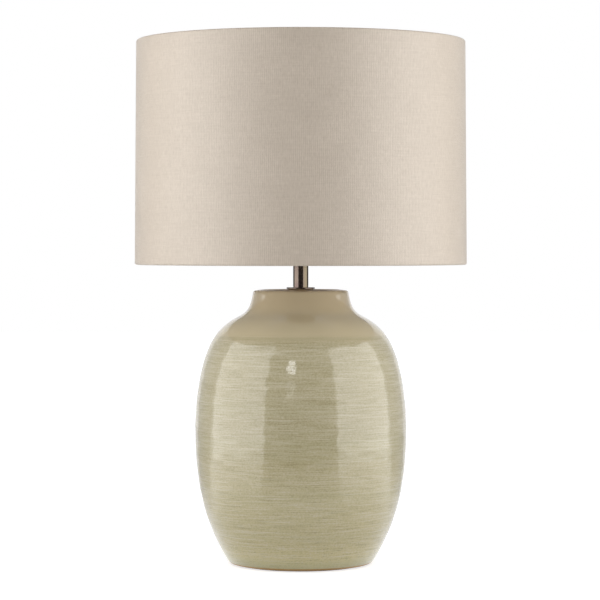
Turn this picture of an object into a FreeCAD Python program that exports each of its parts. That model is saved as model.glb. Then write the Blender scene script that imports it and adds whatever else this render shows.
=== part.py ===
import FreeCAD, Part
import math
import os

# Ginger jar table lamp: a glazed stoneware jar on a felt pad, a brass stem, an E27 lampholder with a
# candle bulb, and a tapered linen drum shade held between two threaded rings.
# All sizes are in millimetres. Z points up and the lamp stands on the plane Z = 0, centred on the Z axis.
# The back of the lamp, with the flex inlet and the seam of the shade, faces +Y.

V = FreeCAD.Vector
UP = V(0, 0, 1)

# ---------------------------------------------------------------------------------------------------
# Driving dimensions
# ---------------------------------------------------------------------------------------------------

# General fits
running_gap = 0.2           # radial room round a piece that turns or slides over another
push_gap = 0.05             # radial room round a piece that is pushed or screwed home
seat_gap = 0.1              # room between flat faces of pieces that turn or lift off each other
edge_break = 0.3            # rounding of small machined edges
edge_round = 0.6            # rounding of edges that a hand meets
cut_past = 2.0              # how far a cutter runs past the face that it cuts

# Felt pad under the foot
pad_radius = 66.0
pad_thickness = 1.5

# Jar
jar_height = 288.7
foot_radius = 75.2          # where the wall would meet the table
foot_corner_radius = 4.0
foot_wall_slope = 0.61      # outward lean of the wall just above the foot, per unit of height
foot_wall_reach = 35.6      # how far up the wall keeps that lean
foot_ring_inner_radius = 60.0
foot_ring_edge_radius = 2.0
belly_radius = 111.6
belly_height = 143.2
belly_reach_down = 65.0
belly_reach_up = 23.1
shoulder_radius = 85.6
shoulder_height = 245.9
shoulder_slope = 0.97       # inward lean of the wall at the shoulder, per unit of height
shoulder_reach_down = 22.3
shoulder_reach_up = 20.2
neck_radius = 51.3
neck_drop = 7.2             # how far below the jar's top the curve of its neck ends
neck_slope = 0.16
neck_reach = 24.8
rim_corner_radius = 3.0
jar_wall = 6.0
jar_top_thickness = 7.0
jar_floor_thickness = 6.0
jar_inner_corner_height = 6.0
jar_inner_corner_radius = 3.6
foot_recess_depth = 9.0
rod_hole_radius = 6.0

# Flex inlet in the back of the jar
inlet_height = 34.0
flex_hole_radius = 3.6
bush_body_radius = 5.5
bush_flange_radius = 8.5
bush_flange_thickness = 2.0
bush_tail_length = 4.0

# Threaded tube and what clamps the jar
rod_radius = 5.0
rod_bore_radius = 3.5
rod_end_below_nut = 1.0
rod_grip_in_holder = 9.0
floor_cushion_radius = 18.0
floor_cushion_thickness = 1.5
base_washer_radius = 17.0
base_washer_thickness = 1.5
lock_washer_radius = 8.8
lock_washer_thickness = 1.2
lock_washer_teeth = 8
nut_across_flats = 14.0
nut_thickness = 3.0
nut_chamfer_width = 0.9
nut_chamfer_height = 0.7
neck_cushion_radius = 13.0
neck_cushion_thickness = 0.8
check_plate_radius = 15.0
check_plate_thickness = 1.5
check_plate_edge_radius = 0.4

# Stem
stem_radius = 8.0
stem_wall = 1.2
stem_length = 50.0

# Lampholder: heights are above the top of the stem
cap_hub_radius = 9.0
cap_hub_height = 6.0
cap_hub_edge_radius = 1.0
cap_hub_root_radius = 2.0
cap_dome_height = 13.0
cap_dome_corner_radius = 5.0
cap_radius = 21.0
cap_height = 22.0
cap_wall = 1.3
cap_rim_edge_radius = 0.4
cap_ledge_height = 14.0
cap_ledge_inner_radius = 13.5
cap_joint_depth = 5.0
cap_entry_past_rod = 2.0
insert_radius = 16.6
insert_height = 16.0
sleeve_radius = 19.85
sleeve_thread_depth = 0.7
sleeve_thread_pitch = 2.5
sleeve_thread_land = 1.5    # plain stretch above the sleeve's thread
sleeve_bore_radius = 14.9
sleeve_flange_thickness = 3.0
sleeve_mouth_lip = 0.5
sleeve_mouth_depth = 1.0
terminal_width = 6.0
terminal_depth = 5.0
terminal_height = 8.0
terminal_offset = 9.0
terminal_wire_radius = 1.2
terminal_wire_depth = 6.0
terminal_screw_radius = 1.5
terminal_screw_length = 1.7
wire_way_depth = 8.0
grub_screw_radius = 1.5
grub_screw_height = 3.4
grub_screw_sink = 0.3       # how far the screw lies below the hub's surface
grub_slot_width = 0.5
grub_slot_depth = 0.8

# E27 screw thread, drawn as rings of the same section
thread_pitch = 3.63
thread_mid_radius = 12.6
thread_swing = 0.55
thread_gap = 0.2
shell_wall = 0.4
socket_depth = 24.0
shell_end_room = 1.0        # least distance from the shell's upper end to the mouth of the sleeve
contact_width = 7.0
contact_strip = 0.4
contact_rise = 4.0
contact_reach = 7.0
contact_crown = 1.5         # half the length of the flat on top of the tongue
contact_tail = 3.6
contact_tail_drop = 1.1
contact_fold_rise = 1.2
contact_room = 1.0          # from the end of the contact to the hole's edge in the shell's floor

# Shade rings
ring_height = 7.0
ring_flange_thickness = 2.0
ring_flange_radius = 27.5
ring_body_radius = 23.4
ring_grips = 16
ring_grip_radius = 1.0
ring_grip_offset = 0.4      # how far the flutes' centres lie outside the body of the ring

# Shade
shade_bottom_radius = 175.0
shade_taper = 1.8           # how much smaller the shade's radius is at its top
shade_height = 235.8
shade_drop = 58.2           # how far the bottom edge hangs below the seat on the lower ring
linen_thickness = 0.5
liner_thickness = 0.6
glue_line = 0.1
hoop_wire_radius = 1.3
hoop_room = 0.25            # room between a hoop's wire and the linen rolled round it
hem_depth = 11.0
hem_lead = 3.0              # height over which the hem leaves the hoop for the liner
seam_width = 12.0
fitter_radius = 31.0
fitter_thickness = 1.6
fitter_room = 0.75          # radial room between the fitter and the sleeve's thread
spoke_count = 3
spoke_radius = 1.75
spoke_rise_angle = 35.0
spoke_bend_radius = 20.0
spoke_slit = 0.2
spoke_slit_reach = 8.0
spoke_foot_overlap = 2.0    # how far a spoke is drawn into the plate before it is trimmed to its edge

# Candle bulb: heights are above the tip of its contact
bulb_length = 100.0
bulb_radius = 17.5
bulb_widest_height = 58.0
bulb_cap_top = 25.5
bulb_cap_wall = 0.4
bulb_thread_start = 6.4
bulb_thread_end_room = 1.5
bulb_contact_radius = 4.6
bulb_contact_height = 1.6
bulb_contact_edge_radius = 0.7
bulb_insulator_foot_radius = 5.2
bulb_insulator_radius = 9.5
bulb_insulator_height = 3.6
collar_plug_depth = 3.5
collar_foot_radius = 13.1
collar_side_height = 40.0
collar_sweep_radius = 12.0
collar_top_height = 46.0
collar_top_radius = 16.2
collar_wall = 1.5
collar_ledge_inner_radius = 10.0
globe_wall = 1.0
globe_swell = 4.5           # how far up the lower side leans out
globe_flank = 17.0          # how far up the side stays upright above its widest
globe_tip_radius = 3.2
globe_tip_rise = 1.4
globe_tip_flare = 2.2
globe_tip_reach = 5.0
led_board_radius = 12.0
led_board_thickness = 1.4
led_count = 6
led_ring_radius = 7.2
led_size = 2.6
led_height = 0.8
driver_width = 13.0
driver_thickness = 9.0
driver_height = 22.0

# ---------------------------------------------------------------------------------------------------
# Places that follow from the driving dimensions
# ---------------------------------------------------------------------------------------------------

jar_base_z = pad_thickness
jar_top_z = jar_base_z + jar_height
floor_under_z = jar_base_z + foot_recess_depth
floor_top_z = floor_under_z + jar_floor_thickness
jar_ceiling_z = jar_top_z - jar_top_thickness
base_washer_z = floor_under_z - floor_cushion_thickness - base_washer_thickness
lock_washer_z = base_washer_z - lock_washer_thickness
nut_z = lock_washer_z - nut_thickness
rod_bottom_z = nut_z - rod_end_below_nut
check_plate_z = jar_top_z + neck_cushion_thickness
stem_z = check_plate_z + check_plate_thickness
holder_z = stem_z + stem_length
rod_top_z = holder_z + rod_grip_in_holder
insert_z = holder_z + cap_ledge_height
insert_top_z = insert_z + insert_height
cap_rim_z = holder_z + cap_height
seat_ring_z = cap_rim_z + sleeve_flange_thickness + seat_gap
fitter_z = seat_ring_z + ring_height + seat_gap
clamp_ring_z = fitter_z + fitter_thickness + seat_gap
bulb_tip_z = insert_top_z + contact_rise + seat_gap
sleeve_top_z = bulb_tip_z + socket_depth
shade_bottom_z = fitter_z - shade_drop
shade_top_z = shade_bottom_z + shade_height
shade_top_radius = shade_bottom_radius - shade_taper
roll_radius = hoop_wire_radius + hoop_room + linen_thickness
ring_bore_radius = sleeve_radius + running_gap
collar_top_z = bulb_tip_z + collar_top_height
cap_inside_radius = cap_radius - cap_wall
spoke_start_angle = -90.0   # one spoke points to the front, between the other two


# ---------------------------------------------------------------------------------------------------
# Ways of making shapes
# ---------------------------------------------------------------------------------------------------

def flat(point):
    """Puts a (radius, height) pair in the XZ plane."""
    return V(point[0], 0, point[1])


def line(start, end):
    return Part.LineSegment(flat(start), flat(end)).toShape()


def arc(start, middle, end):
    return Part.Arc(flat(start), flat(middle), flat(end)).toShape()


def curve(poles):
    """A Bezier curve through the first and last of its (radius, height) poles."""
    bezier = Part.BezierCurve()
    bezier.setPoles([flat(p) for p in poles])
    return bezier.toShape()


def spin(edges, angle=360.0, start_angle=0.0):
    """Turns a closed outline round the Z axis into a solid."""
    face = Part.Face(Part.Wire(edges))
    solid = face.revolve(V(0, 0, 0), UP, angle)
    solid.rotate(V(0, 0, 0), UP, start_angle)
    return solid


def unit(a, b):
    """The direction from a to b."""
    length = math.hypot(b[0] - a[0], b[1] - a[1])
    return ((b[0] - a[0]) / length, (b[1] - a[1]) / length)


def rounded(corner, before, after, radius):
    """Ends and middle of the arc that rounds a corner, kept within the sides of the corner."""
    back, ahead = unit(corner, before), unit(corner, after)
    cosine = back[0] * ahead[0] + back[1] * ahead[1]
    half = math.acos(max(-1.0, min(1.0, cosine))) / 2
    shorter_side = min(math.dist(corner, before), math.dist(corner, after))
    reach = min(radius / math.tan(half), shorter_side * 0.49)
    start = (corner[0] + back[0] * reach, corner[1] + back[1] * reach)
    end = (corner[0] + ahead[0] * reach, corner[1] + ahead[1] * reach)
    bisector = unit((0, 0), (back[0] + ahead[0], back[1] + ahead[1]))
    depth = reach / math.cos(half) - reach * math.tan(half)
    middle = (corner[0] + bisector[0] * depth, corner[1] + bisector[1] * depth)
    return start, middle, end


def outline(corners):
    """Edges of a closed outline of (radius, height) corners, or (radius, height, rounding) ones."""
    arcs = []
    for i, corner in enumerate(corners):
        point = corner[:2]
        if len(corner) > 2:
            arcs.append(rounded(point, corners[i - 1][:2], corners[(i + 1) % len(corners)][:2], corner[2]))
        else:
            arcs.append((point, None, point))
    edges = []
    for (start, middle, end), (following, _, _) in zip(arcs, arcs[1:] + arcs[:1]):
        if middle:
            edges.append(arc(start, middle, end))
        edges.append(line(end, following))
    return edges


def turned(corners):
    """A solid turned on the lathe from an outline of corners."""
    return spin(outline(corners))


def disc(radius, thickness, z, hole_radius=0.0, edge_radius=None):
    """A washer or disc whose underside is at z. Its outer edges are rounded where a radius is given."""
    rounding = (edge_radius,) if edge_radius else ()
    return turned([
        (hole_radius, z),
        (radius, z) + rounding,
        (radius, z + thickness) + rounding,
        (hole_radius, z + thickness),
    ])


def rod_shape(radius, start, end):
    """A round bar between two points."""
    way = end.sub(start)
    return Part.makeCylinder(radius, way.Length, start, way)


def block(width, depth, height, centre_x, centre_y, z):
    """An upright box whose underside is at z."""
    corner = V(centre_x - width / 2, centre_y - depth / 2, z)
    return Part.makeBox(width, depth, height, corner)


def around(shape, count, start_angle=0.0):
    """Copies of a shape, evenly spaced round the Z axis."""
    copies = []
    for i in range(count):
        copy = shape.copy()
        copy.rotate(V(0, 0, 0), UP, start_angle + 360.0 * i / count)
        copies.append(copy)
    return copies


def thread_rings(radius, depth, pitch, z_from, z_to):
    """Corners of a row of V-shaped thread rings between two heights, from the lower to the upper."""
    turns = max(1, int((z_to - z_from) / pitch))
    first = (z_from + z_to - pitch * turns) / 2
    root = radius - depth
    ring = [(root, 0.15), (radius, 0.40), (radius, 0.60), (root, 0.85)]
    corners = [(root, z_from)]
    for i in range(turns):
        corners += [(r, first + pitch * (i + share)) for r, share in ring]
    return corners + [(root, z_to)]


def wave(middle_radius, z_from, turns):
    """Edges of the rounded screw thread of a bulb cap: an arc out and an arc in for each turn, upwards."""
    edges = []
    for i in range(turns):
        low = z_from + i * thread_pitch
        half, top = low + thread_pitch / 2, low + thread_pitch
        crest = (middle_radius + thread_swing, low + thread_pitch / 4)
        root = (middle_radius - thread_swing, half + thread_pitch / 4)
        edges.append(arc((middle_radius, low), crest, (middle_radius, half)))
        edges.append(arc((middle_radius, half), root, (middle_radius, top)))
    return edges


def band(points, thickness, width):
    """A bent strip of even thickness along (x, height) points, centred on the plane Y = 0."""
    sides = [[], []]
    for i, point in enumerate(points):
        before = unit(points[i - 1], point) if i > 0 else unit(point, points[i + 1])
        after = unit(point, points[i + 1]) if i + 1 < len(points) else before
        mitre = unit((0, 0), (-before[1] - after[1], before[0] + after[0]))
        reach = thickness / 2 / (mitre[1] * after[0] - mitre[0] * after[1])
        sides[0].append((point[0] + mitre[0] * reach, point[1] + mitre[1] * reach))
        sides[1].append((point[0] - mitre[0] * reach, point[1] - mitre[1] * reach))
    ring = [V(x, -width / 2, z) for x, z in sides[0] + sides[1][::-1]]
    return Part.Face(Part.makePolygon(ring + ring[:1])).extrude(V(0, width, 0))


# ---------------------------------------------------------------------------------------------------
# Outline of the jar, shared by the jar's outside, its inside and the flex inlet
# ---------------------------------------------------------------------------------------------------

def jar_curves():
    """Three Bezier curves, foot to belly, belly to shoulder and shoulder to neck, as lists of poles."""
    z0 = jar_base_z
    foot_start = z0 + foot_corner_radius
    foot_start_radius = foot_radius + foot_wall_slope * foot_corner_radius
    belly = (belly_radius, z0 + belly_height)
    shoulder = (shoulder_radius, z0 + shoulder_height)
    neck = (neck_radius, jar_top_z - neck_drop)
    lower = [
        (foot_start_radius, foot_start),
        (foot_start_radius + foot_wall_slope * foot_wall_reach, foot_start + foot_wall_reach),
        (belly_radius, belly[1] - belly_reach_down),
        belly,
    ]
    upper = [
        belly,
        (belly_radius, belly[1] + belly_reach_up),
        (shoulder[0] + shoulder_slope * shoulder_reach_down, shoulder[1] - shoulder_reach_down),
        shoulder,
    ]
    flare = [
        shoulder,
        (shoulder[0] - shoulder_slope * shoulder_reach_up, shoulder[1] + shoulder_reach_up),
        (neck[0] + neck_slope * neck_reach, neck[1] - neck_reach),
        neck,
    ]
    return lower, upper, flare


def mix(a, b, share):
    return (a[0] + (b[0] - a[0]) * share, a[1] + (b[1] - a[1]) * share)


def split(poles, share):
    """The two halves of a Bezier curve cut at a share of its parameter."""
    rows = [poles]
    while len(rows[-1]) > 1:
        rows.append([mix(a, b, share) for a, b in zip(rows[-1], rows[-1][1:])])
    return [row[0] for row in rows], [row[-1] for row in reversed(rows)]


def share_at_height(poles, z):
    """The parameter at which a rising Bezier curve reaches height z."""
    low, high = 0.0, 1.0
    while high - low > 1e-9:
        middle = (low + high) / 2
        if split(poles, middle)[0][-1][1] < z:
            low = middle
        else:
            high = middle
    return (low + high) / 2


def offset(poles, distance):
    """The same curve moved sideways, towards the axis for a curve that rises."""
    moved = []
    for pole, (a, b) in zip(poles, [(0, 1), (0, 1), (2, 3), (2, 3)]):
        way = unit(poles[a], poles[b])
        moved.append((pole[0] - way[1] * distance, pole[1] + way[0] * distance))
    return moved


def wall_point(z):
    """Radius of the jar's outside at height z, and the outward direction there as (radius, height)."""
    lower, upper, flare = jar_curves()
    poles = lower if z < lower[-1][1] else upper
    tail = split(poles, share_at_height(poles, z))[1]
    way = unit(tail[0], tail[1])
    return tail[0][0], (way[1], -way[0])


# ---------------------------------------------------------------------------------------------------
# Jar, pad and flex bush
# ---------------------------------------------------------------------------------------------------

def jar_outside_edges():
    """The glazed outside, from the flat of the foot to the flat of the top."""
    lower, upper, flare = jar_curves()
    foot_corner = (foot_radius, jar_base_z)
    start, middle, end = rounded(foot_corner, (0, jar_base_z), lower[0], foot_corner_radius)
    neck = flare[-1]
    rim_height = jar_top_z - neck[1]
    rim_corner = (neck[0] - neck_slope * rim_height, jar_top_z)
    rim_start, rim_middle, rim_end = rounded(rim_corner, neck, (0, jar_top_z), rim_corner_radius)
    edges = [
        arc(start, middle, end),
        line(end, lower[0]),
        curve(lower),
        curve(upper),
        curve(flare),
        line(neck, rim_start),
        arc(rim_start, rim_middle, rim_end),
    ]
    return edges, start, rim_end


def jar_inside_edges():
    """The bare inside, from the ceiling of the neck down to the floor."""
    lower, upper, flare = jar_curves()
    low_z = floor_top_z + jar_inner_corner_height
    high_z = min(jar_ceiling_z - jar_inner_corner_height, flare[-1][1] - jar_inner_corner_height)
    inner_lower = offset(split(lower, share_at_height(lower, low_z))[1], jar_wall)
    inner_upper = offset(upper, jar_wall)
    inner_flare = offset(split(flare, share_at_height(flare, high_z))[0], jar_wall)
    inner_upper[0] = inner_lower[-1]
    inner_flare[0] = inner_upper[-1]
    foot, neck = inner_lower[0], inner_flare[-1]
    ceiling = rounded((neck[0], jar_ceiling_z), (0, jar_ceiling_z), neck, jar_inner_corner_radius)
    lean = unit(foot, inner_lower[1])
    floor_corner = (foot[0] - lean[0] / lean[1] * (foot[1] - floor_top_z), floor_top_z)
    floor = rounded(floor_corner, foot, (0, floor_top_z), jar_inner_corner_radius)
    edges = [
        arc(*ceiling),
        line(ceiling[2], neck),
        curve(inner_flare[::-1]),
        curve(inner_upper[::-1]),
        curve(inner_lower[::-1]),
        line(foot, floor[0]),
        arc(*floor),
    ]
    return edges, ceiling[0], floor[2]


def jar_core():
    """A solid of the jar's outer shape, used to seat what lies on its wall."""
    edges, foot_flat, top_flat = jar_outside_edges()
    bottom = (0, jar_base_z)
    top = (0, jar_top_z)
    return spin(edges + [line(top_flat, top), line(top, bottom), line(bottom, foot_flat)])


def inlet_frame():
    """Where the axis of the flex inlet meets the outer wall, and the outward direction square to it."""
    z = jar_base_z + inlet_height
    radius, way = wall_point(z)
    return V(0, radius, z), V(0, way[0], way[1])


def jar_body():
    """Slip-cast stoneware jar with a closed neck, a foot ring and a recess under its floor."""
    outside, foot_flat, top_flat = jar_outside_edges()
    inside, ceiling_flat, floor_flat = jar_inside_edges()
    hole = rod_hole_radius
    ring_in = foot_ring_inner_radius
    recess_corner = (ring_in, floor_under_z)
    ring_corner = rounded(recess_corner, (0, floor_under_z), (ring_in, jar_base_z), foot_ring_edge_radius)
    edges = outside + [
        line(top_flat, (hole, jar_top_z)),
        line((hole, jar_top_z), (hole, jar_ceiling_z)),
        line((hole, jar_ceiling_z), ceiling_flat),
    ]
    edges += inside + [
        line(floor_flat, (hole, floor_top_z)),
        line((hole, floor_top_z), (hole, floor_under_z)),
        line((hole, floor_under_z), ring_corner[0]),
        arc(*ring_corner),
        line(ring_corner[2], (ring_in, jar_base_z)),
        line((ring_in, jar_base_z), foot_flat),
    ]
    solid = spin(edges)
    place, way = inlet_frame()
    drill_end = place + way * (jar_wall + cut_past)
    drill_start = place - way * (2 * jar_wall + cut_past)
    return solid.cut(rod_shape(bush_body_radius + push_gap, drill_start, drill_end))


def base_pad():
    """Round felt pad glued under the foot ring: it covers the recess and the lamp stands on it."""
    return disc(pad_radius, pad_thickness, 0)


def flex_bush():
    """Plastic bush pushed into the drilled wall, with a thin flange that follows the round wall."""
    place, way = inlet_frame()
    outer_end = place + way * bush_flange_thickness
    inner_end = place - way * (jar_wall + bush_tail_length)
    body = rod_shape(bush_body_radius, inner_end, outer_end)
    flange_start = place - way * bush_flange_thickness
    flange = rod_shape(bush_flange_radius, flange_start, outer_end)
    flange = flange.cut(jar_core())
    bore = rod_shape(flex_hole_radius, inner_end - way * cut_past, outer_end + way * cut_past)
    return body.fuse(flange).removeSplitter().cut(bore)


# ---------------------------------------------------------------------------------------------------
# Threaded tube, nut and washers
# ---------------------------------------------------------------------------------------------------

def threaded_rod():
    """Hollow M10 x 1 tube that runs from the nut under the floor up into the lampholder."""
    return disc(rod_radius, rod_top_z - rod_bottom_z, rod_bottom_z, rod_bore_radius)


def floor_cushion():
    """Rubber washer between the stoneware floor and the steel washer."""
    z = floor_under_z - floor_cushion_thickness
    return disc(floor_cushion_radius, floor_cushion_thickness, z, rod_radius + running_gap)


def base_washer():
    return disc(base_washer_radius, base_washer_thickness, base_washer_z, rod_radius + running_gap)


def lock_washer():
    """Toothed washer: a ring with round notches cut between its teeth."""
    ring = disc(lock_washer_radius, lock_washer_thickness, lock_washer_z, rod_radius + running_gap)
    notch_radius = lock_washer_radius * math.pi / lock_washer_teeth / 2
    notch_start = V(lock_washer_radius, 0, lock_washer_z - cut_past)
    notch = Part.makeCylinder(notch_radius, lock_washer_thickness + 2 * cut_past, notch_start)
    return ring.cut(Part.makeCompound(around(notch, lock_washer_teeth)))


def base_nut():
    """Thin hexagon nut with chamfered corners."""
    corner_radius = nut_across_flats / 2 / math.cos(math.pi / 6)
    corners = []
    for i in range(7):
        angle = math.pi / 3 * i
        corners.append(V(corner_radius * math.cos(angle), corner_radius * math.sin(angle), nut_z))
    prism = Part.Face(Part.makePolygon(corners)).extrude(UP * nut_thickness)
    bore = rod_radius + push_gap
    face_radius = corner_radius - nut_chamfer_width
    top = nut_z + nut_thickness
    blank = turned([
        (bore, nut_z),
        (face_radius, nut_z),
        (corner_radius, nut_z + nut_chamfer_height),
        (corner_radius, top - nut_chamfer_height),
        (face_radius, top),
        (bore, top),
    ])
    return prism.common(blank)


def neck_cushion():
    """Soft washer that keeps the check plate off the glaze."""
    return disc(neck_cushion_radius, neck_cushion_thickness, jar_top_z, rod_radius + running_gap)


def check_plate():
    """Round brass plate on the neck, under the stem."""
    return disc(check_plate_radius, check_plate_thickness, check_plate_z, rod_radius + running_gap,
                check_plate_edge_radius)


def stem_tube():
    """Brass tube that hides the threaded tube between the check plate and the lampholder."""
    return disc(stem_radius, stem_length, stem_z, stem_radius - stem_wall)


# ---------------------------------------------------------------------------------------------------
# Lampholder
# ---------------------------------------------------------------------------------------------------

def holder_cap():
    """Spun brass cap: a hub with the threaded entry, a dome and a straight rim that grips the sleeve."""
    bore = rod_radius + push_gap
    entry_top = rod_top_z + cap_entry_past_rod
    shell = turned([
        (bore, holder_z),
        (cap_hub_radius, holder_z, cap_hub_edge_radius),
        (cap_hub_radius, holder_z + cap_hub_height, cap_hub_root_radius),
        (cap_radius, holder_z + cap_dome_height, cap_dome_corner_radius),
        (cap_radius, cap_rim_z, cap_rim_edge_radius),
        (cap_inside_radius, cap_rim_z),
        (cap_inside_radius, insert_z),
        (cap_ledge_inner_radius, insert_z),
        (cap_ledge_inner_radius, entry_top),
        (bore, entry_top),
    ])
    z = holder_z + grub_screw_height
    screw_hole = rod_shape(grub_screw_radius + push_gap, V(0, 0, z), V(0, cap_hub_radius + cut_past, z))
    return shell.cut(screw_hole)


def holder_grub_screw():
    """Slotted grub screw that stops the lampholder from turning on the threaded tube."""
    z = holder_z + grub_screw_height
    outer_end = cap_hub_radius - grub_screw_sink
    screw = rod_shape(grub_screw_radius, V(0, rod_radius + push_gap, z), V(0, outer_end, z))
    slot = block(grub_slot_width, 2 * grub_slot_depth, 2 * cap_radius, 0, outer_end, z - cap_radius)
    return screw.cut(slot)


def holder_insert():
    """White ceramic block that carries the terminals, the screw shell and the centre contact."""
    body = disc(insert_radius, insert_height, insert_z, 0, edge_round)
    for side in (-1, 1):
        pocket = block(terminal_width + 2 * push_gap, terminal_depth + 2 * push_gap,
                       terminal_height + push_gap, side * terminal_offset, 0, insert_z)
        body = body.cut(pocket)
    return body.cut(Part.makeCylinder(rod_bore_radius, wire_way_depth, V(0, 0, insert_z)))


def terminal_blocks():
    """Two brass terminals, each with a hole for the wire and a threaded hole for its screw."""
    blocks = []
    screw_z = insert_z + terminal_height / 2
    for side in (-1, 1):
        x = side * terminal_offset
        body = block(terminal_width, terminal_depth, terminal_height, x, 0, insert_z)
        wire_hole = rod_shape(terminal_wire_radius, V(x, 0, insert_z - cut_past),
                              V(x, 0, insert_z + terminal_wire_depth))
        screw_end = V(x + side * (terminal_width / 2 + cut_past), 0, screw_z)
        screw_hole = rod_shape(terminal_screw_radius + push_gap, V(x, 0, screw_z), screw_end)
        blocks.append(body.cut(wire_hole).cut(screw_hole))
    return blocks


def terminal_screws():
    """Headless brass screws that pinch the wires in the terminals."""
    screws = []
    screw_z = insert_z + terminal_height / 2
    for side in (-1, 1):
        end_x = side * (terminal_offset + terminal_width / 2)
        start_x = end_x - side * terminal_screw_length
        screws.append(rod_shape(terminal_screw_radius, V(start_x, 0, screw_z), V(end_x, 0, screw_z)))
    return screws


def screw_shell():
    """Brass E27 screw shell, drawn from sheet, with a flat floor on the ceramic block."""
    inner = thread_mid_radius + thread_gap
    outer = inner + shell_wall
    low = bulb_tip_z + bulb_thread_start - thread_pitch
    turns = int((sleeve_top_z - shell_end_room - low) / thread_pitch)
    high = low + turns * thread_pitch
    floor = insert_top_z
    hole = contact_reach + contact_room
    edges = wave(outer, low, turns) + [line((outer, high), (inner, high))] + wave(inner, low, turns)[::-1]
    edges += [
        line((inner, low), (inner, floor + shell_wall)),
        line((inner, floor + shell_wall), (hole, floor + shell_wall)),
        line((hole, floor + shell_wall), (hole, floor)),
        line((hole, floor), (outer, floor)),
        line((outer, floor), (outer, low)),
    ]
    return spin(edges)


def centre_contact():
    """Phosphor-bronze tongue, flat on the ceramic and folded back up to spring against the bulb's tip."""
    half = contact_strip / 2
    foot = insert_top_z + half
    top = insert_top_z + contact_rise - half
    end = contact_reach - half
    path = [
        (-contact_reach, foot),
        (end, foot),
        (end, foot + contact_fold_rise),
        (contact_crown, top),
        (-contact_crown, top),
        (-contact_tail, top - contact_tail_drop),
    ]
    return band(path, contact_strip, contact_width)


def holder_sleeve():
    """Outer sleeve: pushed into the cap's rim, it clamps the ceramic block and carries the ring thread."""
    joint_radius = cap_inside_radius - push_gap
    insert_room = insert_radius + push_gap
    mouth = sleeve_bore_radius - sleeve_mouth_lip
    flange_top = cap_rim_z + sleeve_flange_thickness
    thread_top = sleeve_top_z - sleeve_thread_land
    corners = [
        (insert_room, cap_rim_z - cap_joint_depth),
        (joint_radius, cap_rim_z - cap_joint_depth),
        (joint_radius, cap_rim_z),
        (cap_radius, cap_rim_z, cap_rim_edge_radius),
        (cap_radius, flange_top, edge_round),
    ]
    corners += thread_rings(sleeve_radius, sleeve_thread_depth, sleeve_thread_pitch, flange_top, thread_top)
    corners += [
        (sleeve_radius - sleeve_thread_depth, sleeve_top_z, edge_round),
        (mouth, sleeve_top_z, edge_break),
        (mouth, sleeve_top_z - sleeve_mouth_depth),
        (sleeve_bore_radius, sleeve_top_z - sleeve_mouth_depth),
        (sleeve_bore_radius, insert_top_z),
        (insert_room, insert_top_z),
    ]
    return turned(corners)


# ---------------------------------------------------------------------------------------------------
# Shade rings
# ---------------------------------------------------------------------------------------------------

def shade_ring(face_z, away):
    """Threaded ring with its flange at face_z and a fluted grip that points up (away 1) or down (-1)."""
    flange_z = face_z + away * ring_flange_thickness
    end_z = face_z + away * ring_height
    ring = turned([
        (ring_bore_radius, face_z, edge_break),
        (ring_flange_radius, face_z, edge_break),
        (ring_flange_radius, flange_z, edge_round),
        (ring_body_radius, flange_z),
        (ring_body_radius, end_z, edge_round),
        (ring_bore_radius, end_z, edge_break),
    ])
    flute = rod_shape(ring_grip_radius, V(ring_body_radius + ring_grip_offset, 0, flange_z),
                      V(ring_body_radius + ring_grip_offset, 0, end_z + away * cut_past))
    return ring.cut(Part.makeCompound(around(flute, ring_grips)))


def seat_ring():
    """Lower ring, screwed down to the flange of the sleeve. The shade stands on it."""
    return shade_ring(seat_ring_z + ring_height, -1)


def clamp_ring():
    """Upper ring, screwed down on the shade's fitter."""
    return shade_ring(clamp_ring_z, 1)


# ---------------------------------------------------------------------------------------------------
# Shade
# ---------------------------------------------------------------------------------------------------

def shade_radius_at(z):
    """Radius of the outside of the linen at height z."""
    share = (z - shade_bottom_z) / shade_height
    return shade_bottom_radius + (shade_top_radius - shade_bottom_radius) * share


def hoop_centre(z_edge, inward):
    """Centre of a hoop's wire. Inward is +1 at the bottom edge of the shade and -1 at its top edge."""
    z = z_edge + inward * roll_radius
    return shade_radius_at(z) - roll_radius, z


def roll_point(centre, inward, radius, angle):
    """A point on a circle round a hoop's wire. Angle 0 is outside and -90 is at the edge of the shade."""
    turn = math.radians(angle)
    return centre[0] + radius * math.cos(turn), centre[1] + inward * radius * math.sin(turn)


def roll_arc(centre, inward, radius, end):
    """Arc from the outside of the shade round a hoop's wire, up to where it leaves straight for end."""
    across, along = end[0] - centre[0], inward * (end[1] - centre[1])
    lean = math.acos(radius / math.hypot(across, along))
    leaving = math.degrees(math.atan2(along, across) + lean) - 360
    points = [roll_point(centre, inward, radius, angle) for angle in (0, leaving / 2, leaving)]
    return arc(*points), points[0], points[-1]


def hem_end(z_edge, inward):
    """One rolled end of the linen: its outline, and where it leaves the outside and the inside."""
    centre = hoop_centre(z_edge, inward)
    stack = linen_thickness + liner_thickness + 2 * glue_line
    z_lead = z_edge + inward * (2 * roll_radius + hem_lead)
    z_end = z_edge + inward * hem_depth
    near_lead = (shade_radius_at(z_lead) - stack, z_lead)
    far_lead = (near_lead[0] - linen_thickness, z_lead)
    near_end = (shade_radius_at(z_end) - stack, z_end)
    far_end = (near_end[0] - linen_thickness, z_end)
    outer_arc, outside, leave_far = roll_arc(centre, inward, roll_radius, far_lead)
    inner_arc, inside, leave_near = roll_arc(centre, inward, roll_radius - linen_thickness, near_lead)
    return [
        outer_arc,
        line(leave_far, far_lead),
        line(far_lead, far_end),
        line(far_end, near_end),
        line(near_end, near_lead),
        line(near_lead, leave_near),
        inner_arc,
    ], outside, inside


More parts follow.
